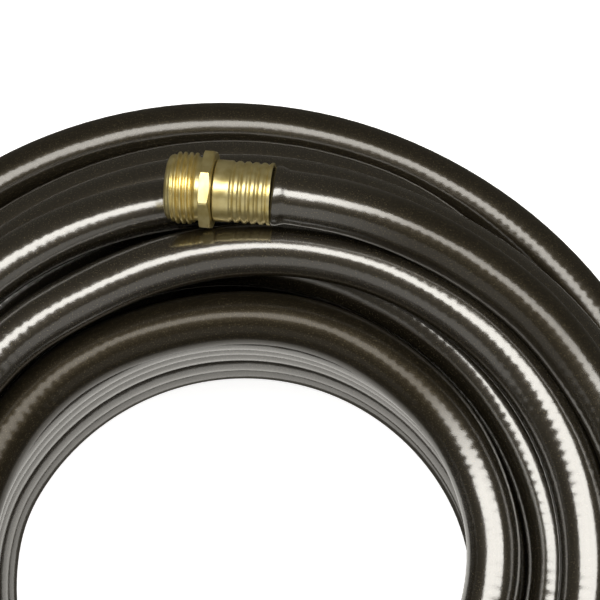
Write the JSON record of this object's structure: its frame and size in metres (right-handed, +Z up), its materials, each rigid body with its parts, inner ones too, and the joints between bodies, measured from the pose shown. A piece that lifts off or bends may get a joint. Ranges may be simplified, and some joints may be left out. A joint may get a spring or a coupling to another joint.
{
  "type": "coiled garden hose",
  "caption": "Coiled dark vinyl garden hose with a crimped brass male coupling lying on top and a brass swivel coupling at the other end.",
  "frame": {"origin": "centre of the coil's footprint, on the floor it lies on", "axes": "+Z up along the coil's axis; +Y from the centre towards the side where the male coupling lies on top"},
  "size_m": [0.416, 0.4161, 0.1634],
  "materials": {
    "brass": "bright turned brass",
    "washer_rubber": "matte",
    "hose_vinyl": "glossy dark bronze with fine metallic fleck",
    "braid_yarn": "knitted yarn",
    "liner_vinyl": "smooth",
    "tie_nylon": "satin"
  },
  "bodies": {
    "hose": {"male_coupling_body": "brass", "male_ferrule": "brass", "female_ferrule": "brass", "female_tailpiece": "brass", "male_end_jacket": "hose_vinyl", "male_end_braid": "braid_yarn", "male_end_liner": "liner_vinyl", "female_end_jacket": "hose_vinyl", "female_end_braid": "braid_yarn", "female_end_liner": "liner_vinyl", "hose_coil": "hose_vinyl", "tie_1_strap": "tie_nylon", "tie_1_head": "tie_nylon", "tie_2_strap": "tie_nylon", "tie_2_head": "tie_nylon", "tie_3_strap": "tie_nylon", "tie_3_head": "tie_nylon"},
    "swivel_nut": {"swivel_nut": "brass", "sealing_washer": "washer_rubber"}
  },
  "joints": [
    {"name": "nut_swivel", "type": "hinge", "parent": "hose", "child": "swivel_nut", "pos_m": [-0.11782, -0.18866, 0.0166], "axis": [-0.9945, 0.1045, 0], "continuous": true}
  ]
}
